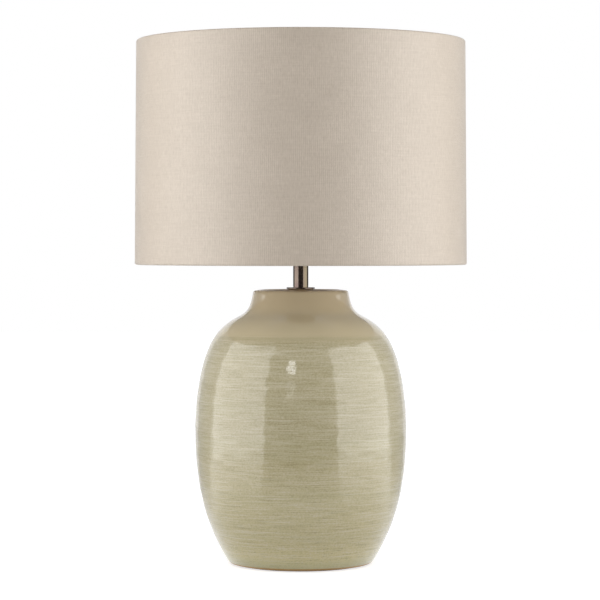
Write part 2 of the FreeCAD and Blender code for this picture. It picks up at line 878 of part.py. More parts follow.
def spoke_path():
    """Corners of one spoke in the XZ plane: up from the bottom hoop, then level to the fitter."""
    start = hoop_centre(shade_bottom_z, 1)
    level = fitter_z + fitter_thickness / 2
    angle = math.radians(spoke_rise_angle)
    corner = (start[0] - (level - start[1]) / math.tan(angle), level)
    end = (fitter_radius - spoke_foot_overlap, level)
    return start, corner, end


def bare_spoke():
    start, corner, end = spoke_path()
    bend = rounded(corner, start, end, spoke_bend_radius)
    path = Part.Wire([line(start, bend[0]), arc(*bend), line(bend[2], end)])
    way = unit(start, corner)
    circle = Part.Wire(Part.makeCircle(spoke_radius, flat(start), V(way[0], 0, way[1])))
    return path.makePipeShell([circle], True, False)


def spoke_slits():
    """Round cutters that open the hem where the spokes pass through it."""
    start, corner, _ = spoke_path()
    way = unit(start, corner)
    cutter_end = (start[0] + way[0] * spoke_slit_reach, start[1] + way[1] * spoke_slit_reach)
    cutter = rod_shape(spoke_radius + spoke_slit, flat(start), flat(cutter_end))
    return around(cutter, spoke_count, spoke_start_angle)


def shade_linen():
    """Linen skin of the drum, rolled round both hoops and tucked in over the liner."""
    bottom, bottom_outer, bottom_inner = hem_end(shade_bottom_z, 1)
    top, top_outer, top_inner = hem_end(shade_top_z, -1)
    edges = bottom + [line(bottom_inner, top_inner)] + top[::-1] + [line(top_outer, bottom_outer)]
    return spin(edges).cut(Part.makeCompound(spoke_slits()))


def shade_liner():
    """Stiff plastic liner inside the linen, between the two hoops."""
    clear_of_hoop = 2 * roll_radius + hem_lead
    low, high = shade_bottom_z + clear_of_hoop, shade_top_z - clear_of_hoop
    outer = linen_thickness + glue_line
    inner = outer + liner_thickness
    return turned([
        (shade_radius_at(low) - inner, low),
        (shade_radius_at(low) - outer, low),
        (shade_radius_at(high) - outer, high),
        (shade_radius_at(high) - inner, high),
    ])


def shade_seam():
    """Free end of the linen panel, lapped over the outside of the drum at the back and glued down."""
    low, high = shade_bottom_z + roll_radius, shade_top_z - roll_radius
    angle = math.degrees(seam_width / shade_bottom_radius)
    return spin(outline([
        (shade_radius_at(low) + glue_line, low),
        (shade_radius_at(low) + glue_line + linen_thickness, low),
        (shade_radius_at(high) + glue_line + linen_thickness, high),
        (shade_radius_at(high) + glue_line, high),
    ]), angle, 90.0 - angle / 2)


def hoop(z_edge, inward):
    radius, z = hoop_centre(z_edge, inward)
    return Part.makeTorus(radius, hoop_wire_radius, V(0, 0, z))


def shade_bottom_hoop():
    return hoop(shade_bottom_z, 1)


def shade_top_hoop():
    return hoop(shade_top_z, -1)


def fitter_plate():
    """Pressed steel ring that drops over the lampholder and is clamped between the two rings."""
    return disc(fitter_radius, fitter_thickness, fitter_z, sleeve_radius + fitter_room, edge_break)


def fitter_spokes():
    """Bent steel wires welded to the bottom hoop and to the edge of the fitter plate."""
    plate = Part.makeCylinder(fitter_radius, shade_drop, V(0, 0, fitter_z - shade_drop / 2))
    spoke = bare_spoke().cut(shade_bottom_hoop()).cut(plate)
    return around(spoke, spoke_count, spoke_start_angle)


# ---------------------------------------------------------------------------------------------------
# Bulb
# ---------------------------------------------------------------------------------------------------

def bulb_cap():
    """Nickel-plated E27 cap: a rounded thread between a cone at the bottom and a plain neck."""
    start = bulb_tip_z + bulb_thread_start
    turns = int((bulb_cap_top - bulb_thread_start - bulb_thread_end_room) / thread_pitch)
    end = start + turns * thread_pitch
    top = bulb_tip_z + bulb_cap_top
    cone_z = bulb_tip_z + bulb_insulator_height
    outer, outer_cone = thread_mid_radius, bulb_insulator_radius
    inner, inner_cone = outer - bulb_cap_wall, outer_cone - bulb_cap_wall
    edges = [line((outer_cone, cone_z), (outer, start))] + wave(outer, start, turns)
    edges += [
        line((outer, end), (outer, top)),
        line((outer, top), (inner, top)),
        line((inner, top), (inner, end)),
    ]
    edges += wave(inner, start, turns)[::-1]
    edges += [
        line((inner, start), (inner_cone, cone_z)),
        line((inner_cone, cone_z), (outer_cone, cone_z)),
    ]
    return spin(edges)


def bulb_contact():
    """Centre contact, a shallow rounded button."""
    return turned([
        (0, bulb_tip_z),
        (bulb_contact_radius, bulb_tip_z, bulb_contact_edge_radius),
        (bulb_contact_radius, bulb_tip_z + bulb_contact_height),
        (0, bulb_tip_z + bulb_contact_height),
    ])


def bulb_insulator():
    """Black glass cone between the contact and the cap."""
    low = bulb_tip_z + bulb_contact_height
    high = bulb_tip_z + bulb_insulator_height
    return turned([
        (0, low),
        (bulb_insulator_foot_radius, low, edge_break),
        (bulb_insulator_radius - bulb_cap_wall - push_gap, high),
        (0, high),
    ])


def bulb_collar():
    """White plastic collar: plugged into the cap, it carries the board with the diodes and the globe."""
    foot_z = bulb_tip_z + bulb_cap_top
    side_z = bulb_tip_z + collar_side_height
    plug = thread_mid_radius - bulb_cap_wall - push_gap
    return turned([
        (plug - collar_wall, foot_z - collar_plug_depth),
        (plug, foot_z - collar_plug_depth),
        (plug, foot_z),
        (collar_foot_radius, foot_z, edge_break),
        (collar_top_radius, side_z, collar_sweep_radius),
        (collar_top_radius, collar_top_z, edge_break),
        (collar_ledge_inner_radius, collar_top_z),
        (collar_ledge_inner_radius, collar_top_z - collar_wall),
        (collar_top_radius - collar_wall, collar_top_z - collar_wall),
        (collar_top_radius - collar_wall, side_z),
        (plug - collar_wall, foot_z),
    ])


def globe_side(inset):
    """The side of the candle globe, moved in by inset: out to its widest, in to the tip and over it."""
    widest = (bulb_radius - inset, bulb_tip_z + bulb_widest_height)
    top = bulb_tip_z + bulb_length - inset
    start = (collar_top_radius - inset, collar_top_z)
    tip = (globe_tip_radius - inset, top - globe_tip_rise)
    crown_radius = tip[0] - globe_tip_flare / globe_tip_reach * globe_tip_rise
    return [
        curve([start, (widest[0], collar_top_z + globe_swell), widest]),
        curve([widest, (widest[0], widest[1] + globe_flank),
               (tip[0] + globe_tip_flare, tip[1] - globe_tip_reach), tip]),
        curve([tip, (crown_radius, top), (0, top)]),
    ]


def bulb_globe():
    """Opal candle-shaped globe, open at the bottom where it stands on the collar."""
    top = bulb_tip_z + bulb_length
    edges = globe_side(0) + [line((0, top), (0, top - globe_wall))] + globe_side(globe_wall)[::-1]
    edges.append(line((collar_top_radius - globe_wall, collar_top_z), (collar_top_radius, collar_top_z)))
    return spin(edges)


def led_board():
    """Round board on the collar, with a ring of light-emitting diodes."""
    board = disc(led_board_radius, led_board_thickness, collar_top_z)
    chip_z = collar_top_z + led_board_thickness
    chip = block(led_size, led_size, led_height, led_ring_radius, 0, chip_z)
    return board.fuse(around(chip, led_count)).removeSplitter()


def led_driver():
    """Driver block inside the cap and collar, hung from the board with the diodes."""
    return block(driver_width, driver_thickness, driver_height, 0, 0, collar_top_z - driver_height)


# ---------------------------------------------------------------------------------------------------
# Files
# ---------------------------------------------------------------------------------------------------

PIECES = [
    base_pad, jar_body, flex_bush,
    threaded_rod, floor_cushion, base_washer, lock_washer, base_nut,
    neck_cushion, check_plate, stem_tube,
    holder_cap, holder_grub_screw, holder_insert, terminal_blocks, terminal_screws,
    screw_shell, centre_contact, holder_sleeve,
    seat_ring, clamp_ring,
    shade_linen, shade_seam, shade_liner, shade_bottom_hoop, shade_top_hoop, fitter_plate, fitter_spokes,
    bulb_contact, bulb_insulator, bulb_cap, bulb_collar, led_driver, led_board, bulb_globe,
]


def write(piece):
    """Makes one piece, tests that it is sound and writes it under the name of its function."""
    made = piece()
    shapes = made if isinstance(made, list) else [made]
    solids = [solid for shape in shapes for solid in shape.Solids]
    for solid in solids:
        if not solid.isValid() or solid.Volume <= 0:
            raise ValueError(piece.__name__ + " is not a sound solid")
    whole = solids[0] if len(solids) == 1 else Part.makeCompound(solids)
    whole.exportStep("parts/" + piece.__name__ + ".step")
    box = whole.BoundBox
    volume = sum(solid.Volume for solid in solids)
    print(piece.__name__, len(solids), "solids, %.1f mm3, z %.2f to %.2f" % (volume, box.ZMin, box.ZMax))


os.makedirs("parts", exist_ok=True)
for piece in PIECES:
    write(piece)
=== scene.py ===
import math

import bpy
import numpy as np
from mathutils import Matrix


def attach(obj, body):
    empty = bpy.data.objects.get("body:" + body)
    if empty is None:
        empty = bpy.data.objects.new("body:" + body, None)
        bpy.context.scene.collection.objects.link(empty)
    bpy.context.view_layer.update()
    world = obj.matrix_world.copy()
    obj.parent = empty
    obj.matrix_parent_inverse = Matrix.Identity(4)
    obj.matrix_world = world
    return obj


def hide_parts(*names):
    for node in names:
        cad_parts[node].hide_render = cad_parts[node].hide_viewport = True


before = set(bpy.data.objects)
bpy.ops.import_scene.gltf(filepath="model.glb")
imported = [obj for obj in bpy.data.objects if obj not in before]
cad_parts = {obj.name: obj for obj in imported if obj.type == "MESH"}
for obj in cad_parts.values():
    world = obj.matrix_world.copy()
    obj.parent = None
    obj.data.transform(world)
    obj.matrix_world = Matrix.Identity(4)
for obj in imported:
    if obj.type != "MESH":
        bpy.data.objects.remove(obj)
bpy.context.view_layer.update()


# Camera: a long lens 2.65 m in front of the lamp, 20 mm above the shade's lower edge and tipped down by
# about a degree.
camera = bpy.data.objects.new("camera", bpy.data.cameras.new("camera"))
bpy.context.scene.collection.objects.link(camera)
camera.location = (-0.0008, -2.650, 0.3371)
camera.rotation_euler = (math.radians(90 - 1.253), 0, 0)
camera.data.sensor_width = 36
camera.data.lens = 150.5
bpy.context.scene.camera = camera
bpy.context.scene.view_settings.view_transform = "Standard"


# Studio: a white floor and a white surround, a tall softbox close on each side and two small lamps in front.
# Cards and floor mats, which only the glosses see, are dark in front, grey to the rear of each side and pale
# behind, and draw the edges of the lights in the glaze and the brass.
def add(tree, kind, sockets=None, **settings):
    """A new shader node with its settings, and its sockets set to a value or linked, by name or number."""
    made = tree.nodes.new("ShaderNode" + kind)
    for key, value in settings.items():
        setattr(made, key, value)
    for key, value in (sockets or {}).items():
        if isinstance(value, bpy.types.NodeSocket):
            tree.links.new(value, made.inputs[key])
        else:
            made.inputs[key].default_value = value
    return made


def new_finish(name, **sockets):
    """A material and its Principled shader, with sockets named by words joined with underscores."""
    material = bpy.data.materials.new(name)
    material.use_nodes = True
    shader = material.node_tree.nodes["Principled BSDF"]
    for key, value in sockets.items():
        socket = shader.inputs[key.replace("_", " ")]
        socket.default_value = (*value, 1) if key.endswith("_Color") else value
    return material, material.node_tree, shader


def mesh_piece(name, points, faces, material):
    """An object at the origin from an (n, 3) array of points in metres and an array of quads or triangles."""
    mesh = bpy.data.meshes.new(name)
    mesh.from_pydata(points, [], faces if isinstance(faces, list) else faces.tolist())
    mesh.polygons.foreach_set("use_smooth", np.ones(len(mesh.polygons), bool))
    mesh.materials.append(material)
    mesh.update()
    piece = bpy.data.objects.new(name, mesh)
    bpy.context.scene.collection.objects.link(piece)
    return piece


def spread(tree, value, low, high, to_low=0.0, to_high=1.0):
    """A value from low to high stretched over another range and held at its ends."""
    return add(tree, "MapRange", {"Value": value, "From Min": low, "From Max": high, "To Min": to_low,
                                  "To Max": to_high}).outputs[0]


def calc(tree, operation, first, second=0.0, third=0.0):
    """One sum on numbers or sockets."""
    return add(tree, "Math", {0: first, 1: second, 2: third}, operation=operation).outputs[0]


def distance_out(tree):
    """How far a point is from the middle of the floor, in metres."""
    place = add(tree, "TexCoord").outputs["Object"]
    return add(tree, "VectorMath", {0: place}, operation="LENGTH").outputs["Value"]


def seen_by_eye_glass_or_metal(tree):
    """1 for rays from the camera, from a gloss and through glass, and 0 for the rest."""
    path = add(tree, "LightPath").outputs
    seen = calc(tree, "MAXIMUM", path["Is Camera Ray"], path["Is Glossy Ray"])
    return calc(tree, "MAXIMUM", seen, path["Is Transmission Ray"])


LEVEL_AMBIENT = 0.74        # light from low down and from straight above
TOP_AMBIENT = 0.20
SIDE_SHARE = 0.25           # part of it that comes from the sides, and from the front and back
FRONT_SHARE = 1.35
CEILING_GLOW = 0.30         # what the glosses see overhead, where they see 1 all round
world = bpy.data.worlds.new("surround")
bpy.context.scene.world = world
world.use_nodes = True
tree = world.node_tree
way = add(tree, "SeparateXYZ", {0: add(tree, "TexCoord").outputs["Generated"]}).outputs
ambient = spread(tree, way[2], 0.3, 0.9, LEVEL_AMBIENT, TOP_AMBIENT)
ceiling = spread(tree, way[2], 0.72, 0.95, 1.0, CEILING_GLOW)
share = spread(tree, calc(tree, "ABSOLUTE", way[1]), 0.0, 1.0, SIDE_SHARE, FRONT_SHARE)
ambient = calc(tree, "MULTIPLY", ambient, share)
strength = spread(tree, seen_by_eye_glass_or_metal(tree), 0.0, 1.0, ambient, ceiling)
tree.links.new(strength, tree.nodes["Background"].inputs["Strength"])
tree.nodes["Background"].inputs["Color"].default_value = (1, 1, 1, 1)

FLOOR_COLOUR = 0.60
FLOOR_REACH = 7.0
FLOOR_GLOW = 0.70           # at the lamp, rising to white from 0.3 to 1 m away from it
floor_finish, tree, shader = new_finish("white_floor", Base_Color=(FLOOR_COLOUR,) * 3, Roughness=1.0,
                                        Specular_IOR_Level=0.0, Emission_Color=(1, 1, 1))
brighter = spread(tree, distance_out(tree), 0.3, 1.0, FLOOR_GLOW, 1.0)
glow = calc(tree, "MULTIPLY", seen_by_eye_glass_or_metal(tree), brighter)
tree.links.new(glow, shader.inputs["Emission Strength"])
square = FLOOR_REACH * np.array([(-1, -1, 0), (1, -1, 0), (1, 1, 0), (-1, 1, 0)])
floor = mesh_piece("floor", square, [(0, 1, 2, 3)], floor_finish)


def card_finish(name, colour, glow, fade_from=None, fade_over=0.4):
    """A plain card; a mat's alpha rises from 0 to 1 outwards from fade_from, over the distance fade_over."""
    finish, tree, shader = new_finish(name, Base_Color=(colour,) * 3, Roughness=1.0, Specular_IOR_Level=0.0,
                                      Emission_Color=(1, 1, 1), Emission_Strength=glow)
    if fade_from is not None:
        solid = spread(tree, distance_out(tree), fade_from, fade_from + fade_over)
        tree.links.new(solid, shader.inputs["Alpha"])
    return finish


dark_card = card_finish("dark_card", colour=0.03, glow=0.10)
grey_card = card_finish("grey_card", colour=0.4, glow=0.38)
pale_card = card_finish("pale_card", colour=0.1, glow=0.88)
dark_mat = card_finish("dark_mat", colour=0.03, glow=0.0, fade_from=0.2)
grey_mat = card_finish("grey_mat", colour=0.3, glow=0.34, fade_from=0.15)
pale_mat = card_finish("pale_mat", colour=0.1, glow=0.80, fade_from=0.15)
bright_mat = card_finish("bright_mat", colour=0.1, glow=1.66, fade_from=0.19, fade_over=0.17)

CARD_TOP = 3.2
MAT_START = 0.15
MAT_HEIGHT = 0.004


def upright(bearing, distance, half_width):
    """Corners of an upright card square to a bearing in degrees from the camera's side, turning to +X."""
    turn = math.radians(bearing)
    out = np.array((math.sin(turn), -math.cos(turn), 0.0))
    side = np.array((math.cos(turn), math.sin(turn), 0.0))
    left, right = out * distance - side * half_width, out * distance + side * half_width
    return np.array([left, right, right + (0, 0, CARD_TOP), left + (0, 0, CARD_TOP)])


def sector(start, end, inner, outer, steps=24):
    """Points and quads between two arcs round the axis, from one bearing to another. Each arc is a pair of
    its radius and its height."""
    turn = np.radians(np.linspace(start, end, steps))
    way = np.stack([np.sin(turn), -np.cos(turn), np.zeros(steps)], 1)
    points = np.vstack([way * radius + (0, 0, height) for radius, height in (inner, outer)])
    step = np.arange(steps - 1)
    return points, np.column_stack([step, step + steps, step + steps + 1, step + 1])


def place_card(name, points, faces, finish):
    """A card that only glosses, metal and glass see."""
    card = mesh_piece(name, points, faces, finish)
    card.visible_camera = card.visible_diffuse = card.visible_shadow = False


for name, bearing, distance, half_width, finish in (
        ("card_front", 0, 3.2, 2.5, dark_card), ("card_back", 180, 2.6, 1.62, pale_card),
        ("card_right", 130, 2.4, 0.78, grey_card), ("card_left", -130, 2.4, 0.78, grey_card)):
    place_card(name, upright(bearing, distance, half_width), [(0, 1, 2, 3)], finish)
for name, start, end, outer, finish in (
        ("mat_front", -38, 38, 3.1, dark_mat), ("mat_back", 148, 212, 2.5, pale_mat),
        ("mat_right", 38, 107, 1.15, bright_mat), ("mat_left", -107, -38, 1.15, bright_mat),
        ("mat_rear_right", 112, 148, 2.3, grey_mat), ("mat_rear_left", -148, -112, 2.3, grey_mat)):
    place_card(name, *sector(start, end, (MAT_START, MAT_HEIGHT), (outer, MAT_HEIGHT)), finish)
place_card("flag_behind_stem", *sector(107, 253, (0.03, 0.2935), (0.03, 0.3155)), dark_card)


def softbox(name, bearing, rise, distance, width, height, radiance, aim=0.25):
    """A flat lamp at a bearing and a rise in degrees, facing the lamp's axis at the height aim."""
    lamp = bpy.data.lights.new(name, "AREA")
    lamp.shape = "RECTANGLE"
    lamp.size, lamp.size_y = width, height
    lamp.energy = radiance * math.pi * width * height
    holder = bpy.data.objects.new(name, lamp)
    turn, lift = math.radians(bearing), math.radians(rise)
    away = distance * math.cos(lift)
    holder.location = (away * math.sin(turn), -away * math.cos(turn), aim + distance * math.sin(lift))
    holder.rotation_euler = (math.radians(90) - lift, 0, turn)
    holder.visible_camera = False
    bpy.context.scene.collection.objects.link(holder)


for name, bearing, width, radiance in (
        ("softbox_right", 71.3, 1.02, 1.62), ("softbox_left", -71.2, 1.017, 1.58)):
    softbox(name, bearing, rise=0, distance=0.771, width=width, height=1.14, radiance=radiance, aim=0.58)
softbox("lamp_above_camera", bearing=-11, rise=28, distance=2.5, width=0.40, height=0.25, radiance=7.5)
softbox("lamp_near_camera", bearing=-11, rise=14, distance=2.5, width=0.36, height=0.10, radiance=3.0)


# Felt pad: a disc of tan felt 1.5 mm thick, glued under the foot ring. It covers the nut's recess, and the
# lamp stands on it.
MM = 0.001
PAD_RADIUS = 66.0
PAD_THICKNESS = 1.5
PAD_RINGS = (60, 44, 28, 14, 6, 2, 0.9, 0.35, 0.06, 0)     # how far in from the edge, over the lower half
PAD_RISES = (0, 0, 0, 0, 0, 0, 0, 0.1, 0.28, 0.5)          # and how high, as a share of the thickness
PAD_WAVERS = (                              # share of the radius, waves in a turn, phase
    (0.0006, 37, 0), (0.0004, 61, 1), (0.0002, 97, 0))


def paint(red, green, blue):
    """A colour as it looks on a screen, from 0 to 255, as linear light."""
    seen = np.array((red, green, blue)) / 255
    return tuple(float(v) for v in np.where(seen > 0.04045, ((seen + 0.055) / 1.055) ** 2.4, seen / 12.92))


def turned_points(profile, steps):
    """Points of a turned shape: each (radius, height) in mm goes round the axis in equal steps."""
    turn = np.linspace(0, 2 * np.pi, steps, endpoint=False)
    radius, height = profile[:, 0, None], profile[:, 1, None]
    height = np.broadcast_to(height, (len(profile), steps))
    return np.stack([radius * np.cos(turn), radius * np.sin(turn), height], 2) * MM


def ring_faces(rows, steps):
    """Quads between neighbouring rows of points, closed round the axis. A rising outline makes them face
    outwards."""
    row, step = np.meshgrid(np.arange(rows - 1), np.arange(steps), indexing="ij")
    following = (step + 1) % steps
    return np.stack([row * steps + step, row * steps + following, (row + 1) * steps + following,
                     (row + 1) * steps + step], 2).reshape(-1, 4)


def object_place(tree, cells, move=(0, 0, 0)):
    """The piece's own coordinates, stretched to so many cells per metre along X, Y and Z and then moved."""
    place = add(tree, "TexCoord").outputs["Object"]
    return add(tree, "Mapping", {"Vector": place, "Scale": cells, "Location": move}).outputs[0]


def coordinate(tree, axis):
    """The piece's own X, Y or Z in metres, by its number."""
    return add(tree, "SeparateXYZ", {0: add(tree, "TexCoord").outputs["Object"]}).outputs[axis]


def noise(tree, place, detail, roughness):
    """Soft noise from 0 to 1 at a place, one cell to a unit."""
    return add(tree, "TexNoise", {"Vector": place, "Scale": 1.0, "Detail": detail,
                                  "Roughness": roughness}).outputs[0]


def grain(tree, cells, detail=2.0, roughness=0.5, move=(0, 0, 0)):
    """Soft noise from 0 to 1 through the piece, with so many cells per metre along X, Y and Z."""
    return noise(tree, object_place(tree, cells, move), detail, roughness)


def blend(tree, share, first, second):
    """The first colour, with the second one mixed in by a share."""
    made = tree.nodes.new("ShaderNodeMix")
    made.data_type = "RGBA"
    for number, value in ((0, share), (6, first), (7, second)):
        if isinstance(value, bpy.types.NodeSocket):
            tree.links.new(value, made.inputs[number])
        else:
            made.inputs[number].default_value = value if number == 0 else (*value, 1)
    return made.outputs[2]


def raise_surface(tree, shader, height, distance, socket="Normal"):
    """A bump of that many millimetres on one of the shader's normals."""
    bump = add(tree, "Bump", {"Height": height, "Distance": distance * MM, "Strength": 1.0})
    tree.links.new(bump.outputs[0], shader.inputs[socket])


FELT_TAN = paint(168, 142, 92)
FELT_DARK = paint(128, 104, 62)
FELT_LIGHT = paint(196, 172, 122)
felt, tree, shader = new_finish("pad_felt", Roughness=0.95, Sheen_Weight=0.4, Sheen_Roughness=0.5)
fibres = grain(tree, (900, 900, 2500), 4, 0.7)
clumps = grain(tree, (140, 140, 500), 3, 0.6)
colour = blend(tree, spread(tree, clumps, 0.35, 0.65), FELT_TAN, FELT_DARK)
colour = blend(tree, spread(tree, fibres, 0.55, 0.75, 0, 0.7), colour, FELT_LIGHT)
tree.links.new(colour, shader.inputs["Base Color"])
raise_surface(tree, shader, fibres, 0.3)


def felt_disc(radius, thickness, steps=256):
    """A disc: rings from the middle out over the underside, round the edge and back over the top, where the
    rises are 1 less those below. The outer 3 mm shrink by a sum of three sines of the angle, which is never
    below nothing."""
    outer = radius - np.array(PAD_RINGS + PAD_RINGS[-2::-1])
    rises = np.array(PAD_RISES)
    height = thickness * np.concatenate([rises, 1 - rises[-2::-1]])
    points = turned_points(np.column_stack([outer, height]), steps)
    angle = np.arctan2(points[:, :, 1], points[:, :, 0])
    shrink = sum(depth * (1 + np.sin(waves * angle + phase)) for depth, waves, phase in PAD_WAVERS)
    points[:, :, :2] *= 1 - (outer > radius - 3)[:, None, None] * shrink[:, :, None]
    rows = len(outer)
    middle = np.array([(0, 0, 0), (0, 0, thickness * MM)])
    count = rows * steps
    step = np.arange(steps)
    under = np.column_stack([np.full(steps, count), (step + 1) % steps, step])
    last = (rows - 1) * steps
    over = np.column_stack([np.full(steps, count + 1), last + step, last + (step + 1) % steps])
    faces = ring_faces(rows, steps).tolist() + under.tolist() + over.tolist()
    return np.vstack([points.reshape(-1, 3), middle]), faces


pad = mesh_piece("felt_pad", *felt_disc(PAD_RADIUS, PAD_THICKNESS), felt)
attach(pad, "base")
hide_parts("base_pad")


# Jar: slip-cast stoneware with a closed neck, a foot ring and a drilled hole low in its back. Its outside is
# brushed round and glazed in celadon, which is thinner from the shoulder up. The browner tone there is in
# part a painted warm reflection of the shade's underside. The clay is bare at the bottom of the foot and on
# top of the neck.
BASE_Z = 1.5
TOP_Z = 290.2
JAR_WALL = 6.0
WALL_SPACING = 1.65
ROD_HOLE = 6.0
FOOT_FLAT = 66.0
FOOT_ROUND = 6.0
FOOT_CORNER = (75.2, BASE_Z)
RECESS_ROUND = 2.0
RIM_START = (51.0, 284.6)
RIM_CORNER = (50.12, 289.2)
RIM_ROUND = 3.0
FOOT_RING_INSIDE = 60.0
RECESS_Z = 10.5
FLOOR_Z = 16.5
CEILING_Z = 283.2
INLET_POINT = (0.0, 93.124, 35.5)           # middle of the drilled hole on the wall, and the way out of it
INLET_WAY = (0.0, 0.92165, -0.38801)
INLET_HOLE = 5.6
INLET_SPARE = 0.9                           # wall left out round the hole, under the bush's flange
WALL_CURVES = (
    ((77.64, 5.5), (99.356, 41.1), (111.6, 79.7), (111.6, 144.7)),
    ((111.6, 144.7), (111.6, 167.8), (107.231, 225.1), (85.6, 247.4)),
    ((85.6, 247.4), (66.006, 267.6), (56.01, 258.2), (51.3, 283.0)),
)
BRUSHED_FROM = (12, 42)                     # heights over which the rings begin, and end at the shoulder
BRUSHED_TO = (248, 230)
BRUSH_SWIRL = (0.020, 9.3, 0.7)             # depth of a ring, its height and how far it wanders
BRUSH_RINGS = (                             # depth, height of a wave, waves in a turn, phase
    (0.012, 5.9, 2, 0), (0.060, 31, 1, 0), (0.045, 23, 17, 0), (0.035, -17, 23, 1),
    (0.020, 8 * math.pi, 31, 0))


def bezier(poles, count):
    """A cubic Bezier curve: its poles weighed by (1-t)^3, 3t(1-t)^2, 3t^2(1-t) and t^3, t from 0 to 1."""
    t = np.linspace(0, 1, count)[:, None]
    first, second, third, last = (np.array(pole, float) for pole in poles)
    return first * (1 - t) ** 3 + 3 * second * t * (1 - t) ** 2 + 3 * third * t ** 2 * (1 - t) + last * t ** 3


def fillet(before, corner, after, radius, count):
    """An arc that touches both sides of a corner, from the side it comes from to the side it leaves by."""
    before, corner, after = (np.array(point, float) for point in (before, corner, after))
    back = (before - corner) / np.linalg.norm(before - corner)
    ahead = (after - corner) / np.linalg.norm(after - corner)
    half = math.acos(float(np.clip(back @ ahead, -1, 1))) / 2
    start, end = corner + back * radius / math.tan(half), corner + ahead * radius / math.tan(half)
    centre = corner + (back + ahead) / np.linalg.norm(back + ahead) * radius / math.sin(half)
    share = np.linspace(0, 1, count)[:, None]
    ways = (start - centre) * (1 - share) + (end - centre) * share
    return centre + ways / np.linalg.norm(ways, axis=1)[:, None] * radius


def evened(points, gap):
    """Points at equal distances of about gap along a line of points."""
    along = np.concatenate([[0], np.cumsum(np.linalg.norm(np.diff(points, axis=0), axis=1))])
    wanted = np.linspace(0, along[-1], max(2, round(along[-1] / gap) + 1))
    return np.column_stack([np.interp(wanted, along, points[:, 0]), np.interp(wanted, along, points[:, 1])])


def ramp(values, start, end):
    """0 as far as start, 1 from end on, and a straight line between them."""
    return np.clip((values - start) / (end - start), 0, 1)


def outward(points):
    """Unit directions to the right of a line of points, which is outwards for a rising one."""
    ahead = np.gradient(points, axis=0)
    ahead /= np.linalg.norm(ahead, axis=1)[:, None]
    return np.column_stack([ahead[:, 1], -ahead[:, 0]])


def jar_shape(steps=224):
    """The wall is an outline of three Bezier curves in evenly spaced points, and the same points set back by
    the wall's thickness are its inside. Both are joined over the rim, the ceiling, the floor and the foot
    into one closed outline and turned. The outside then moves out or in by a sum of sines of the height and
    of the turn. Faces of both walls near the inlet are left out and the hole is joined by quads."""
    wall = evened(np.vstack([bezier(WALL_CURVES[0], 300), bezier(WALL_CURVES[1], 300)[1:],
                             bezier(WALL_CURVES[2], 200)[1:]]), WALL_SPACING)
    lining = wall - outward(wall) * JAR_WALL
    kept = (lining[:, 1] > FLOOR_Z + 4) & (lining[:, 1] < CEILING_Z - 5)
    first, last = np.flatnonzero(kept)[[0, -1]]
    foot = np.vstack([(ROD_HOLE, RECESS_Z), (25, RECESS_Z), (45, RECESS_Z),
                      fillet((45, RECESS_Z), (FOOT_RING_INSIDE, RECESS_Z), (FOOT_RING_INSIDE, BASE_Z),
                             RECESS_ROUND, 6),
                      (FOOT_RING_INSIDE, BASE_Z + 0.6), (FOOT_RING_INSIDE + 0.6, BASE_Z), (FOOT_FLAT, BASE_Z),
                      fillet((FOOT_FLAT, BASE_Z), FOOT_CORNER, wall[1], FOOT_ROUND, 12)[:-1]])
    rim = np.vstack([RIM_START, fillet(WALL_CURVES[2][3], RIM_CORNER, (40, TOP_Z), RIM_ROUND, 12),
                     (40, TOP_Z), (28, TOP_Z), (16, TOP_Z), (ROD_HOLE, TOP_Z), (ROD_HOLE, CEILING_Z),
                     (20, CEILING_Z), (34, CEILING_Z)])
    floor_side = np.array([(60, FLOOR_Z), (30, FLOOR_Z), (ROD_HOLE, FLOOR_Z)])
    outline = np.vstack([foot, wall, rim, lining[first:last + 1][::-1], floor_side])
    wall_row = len(foot)
    lining_row = len(foot) + len(wall) + len(rim)
    mirror = lining_row + last + wall_row

    points = turned_points(outline, steps)
    angle = np.linspace(0, 2 * np.pi, steps, endpoint=False)[None, :]
    height = wall[:, 1, None]
    depth, pitch, wander = BRUSH_SWIRL
    rings = depth * np.sin(2 * np.pi * height / pitch + angle + wander * np.sin(2 * angle))
    for depth, pitch, waves, phase in BRUSH_RINGS:
        rings = rings + depth * np.sin(2 * np.pi * height / pitch + waves * angle + phase)
    push = rings * ramp(height, *BRUSHED_FROM) * ramp(height, *BRUSHED_TO) * MM
    way = outward(wall)
    rows = slice(wall_row, wall_row + len(wall))
    points[rows, :, 0] += push * way[:, 0, None] * np.cos(angle)
    points[rows, :, 1] += push * way[:, 0, None] * np.sin(angle)
    points[rows, :, 2] += push * way[:, 1, None]

    loop = len(outline)
    faces = ring_faces(loop + 1, steps).reshape(loop, steps, 4) % (loop * steps)
    middles = (points[:-1, :] + np.roll(points, -1, axis=1)[1:, :]) / 2 / MM - np.array(INLET_POINT)
    along = middles @ np.array(INLET_WAY)
    aside = np.linalg.norm(middles - along[:, :, None] * np.array(INLET_WAY), axis=2)
    hole = np.zeros((loop, steps), bool)
    wall_faces = slice(wall_row, wall_row + len(wall) - 1)
    hole[wall_faces] = (aside[wall_faces] < INLET_HOLE + INLET_SPARE) & (middles[wall_faces, :, 1] > 0)
    row, step = np.nonzero(hole)
    hole[mirror - row - 1, step] = True

    bridges = []
    for move_row, move_step, near, far in ((0, 1, 1, 2), (0, -1, 3, 0), (1, 0, 2, 3), (-1, 0, 0, 1)):
        edge = ~hole[row + move_row, (step + move_step) % steps]
        outer = faces[row[edge], step[edge]][:, [near, far]]
        outer_row, outer_step = np.divmod(outer, steps)
        inner = (mirror - outer_row) * steps + outer_step
        bridges.append(np.column_stack([outer[:, 1], outer[:, 0], inner[:, 0], inner[:, 1]])[:, ::-1])
    return points.reshape(-1, 3), np.vstack([faces[~hole], *bridges])


